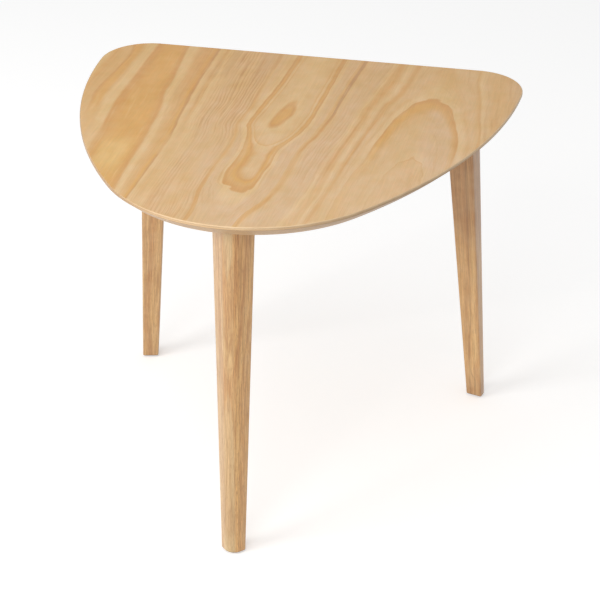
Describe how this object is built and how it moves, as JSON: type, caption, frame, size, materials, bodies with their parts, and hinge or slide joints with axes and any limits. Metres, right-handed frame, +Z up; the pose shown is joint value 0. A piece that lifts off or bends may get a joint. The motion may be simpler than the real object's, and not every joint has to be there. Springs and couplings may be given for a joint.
{
  "type": "corner table",
  "caption": "Corner table: rounded triangular plywood top with a straight back edge and an undercut rim, on splayed, tapered solid-wood legs.",
  "frame": {"origin": "on the floor, under the middle of the table's box", "axes": "+Z up, +Y towards the straight back edge, -Y towards the nose with its single front leg, +X to the right as seen from the front"},
  "size_m": [0.6, 0.536, 0.5],
  "materials": {
    "pine_veneer_ply": "clear satin lacquer over pine face veneer",
    "leg_wood": "clear oiled light hardwood",
    "zinc_plate": "bright zinc plated",
    "yellow_zinc": "yellow zinc plated",
    "black_bolt": "blackened steel",
    "insert_zinc": "die-cast zinc",
    "glide_nylon": "off-white nylon"
  },
  "bodies": {
    "root": {"table_top": "pine_veneer_ply", "leg_front": "leg_wood", "leg_back_left": "leg_wood", "leg_back_right": "leg_wood", "foot_glide_front": "glide_nylon", "foot_glide_back_left": "glide_nylon", "foot_glide_back_right": "glide_nylon", "mount_plate_front": "zinc_plate", "mount_plate_back_left": "zinc_plate", "mount_plate_back_right": "zinc_plate", "leg_screw_front_1": "yellow_zinc", "leg_screw_front_2": "yellow_zinc", "leg_screw_front_3": "yellow_zinc", "leg_screw_back_left_1": "yellow_zinc", "leg_screw_back_left_2": "yellow_zinc", "leg_screw_back_left_3": "yellow_zinc", "leg_screw_back_right_1": "yellow_zinc", "leg_screw_back_right_2": "yellow_zinc", "leg_screw_back_right_3": "yellow_zinc", "plate_bolt_front_1": "black_bolt", "plate_bolt_front_2": "black_bolt", "plate_bolt_front_3": "black_bolt", "plate_bolt_front_4": "black_bolt", "plate_bolt_back_left_1": "black_bolt", "plate_bolt_back_left_2": "black_bolt", "plate_bolt_back_left_3": "black_bolt", "plate_bolt_back_left_4": "black_bolt", "plate_bolt_back_right_1": "black_bolt", "plate_bolt_back_right_2": "black_bolt", "plate_bolt_back_right_3": "black_bolt", "plate_bolt_back_right_4": "black_bolt", "insert_front_1": "insert_zinc", "insert_front_2": "insert_zinc", "insert_front_3": "insert_zinc", "insert_front_4": "insert_zinc", "insert_back_left_1": "insert_zinc", "insert_back_left_2": "insert_zinc", "insert_back_left_3": "insert_zinc", "insert_back_left_4": "insert_zinc", "insert_back_right_1": "insert_zinc", "insert_back_right_2": "insert_zinc", "insert_back_right_3": "insert_zinc", "insert_back_right_4": "insert_zinc"}
  },
  "joints": []
}
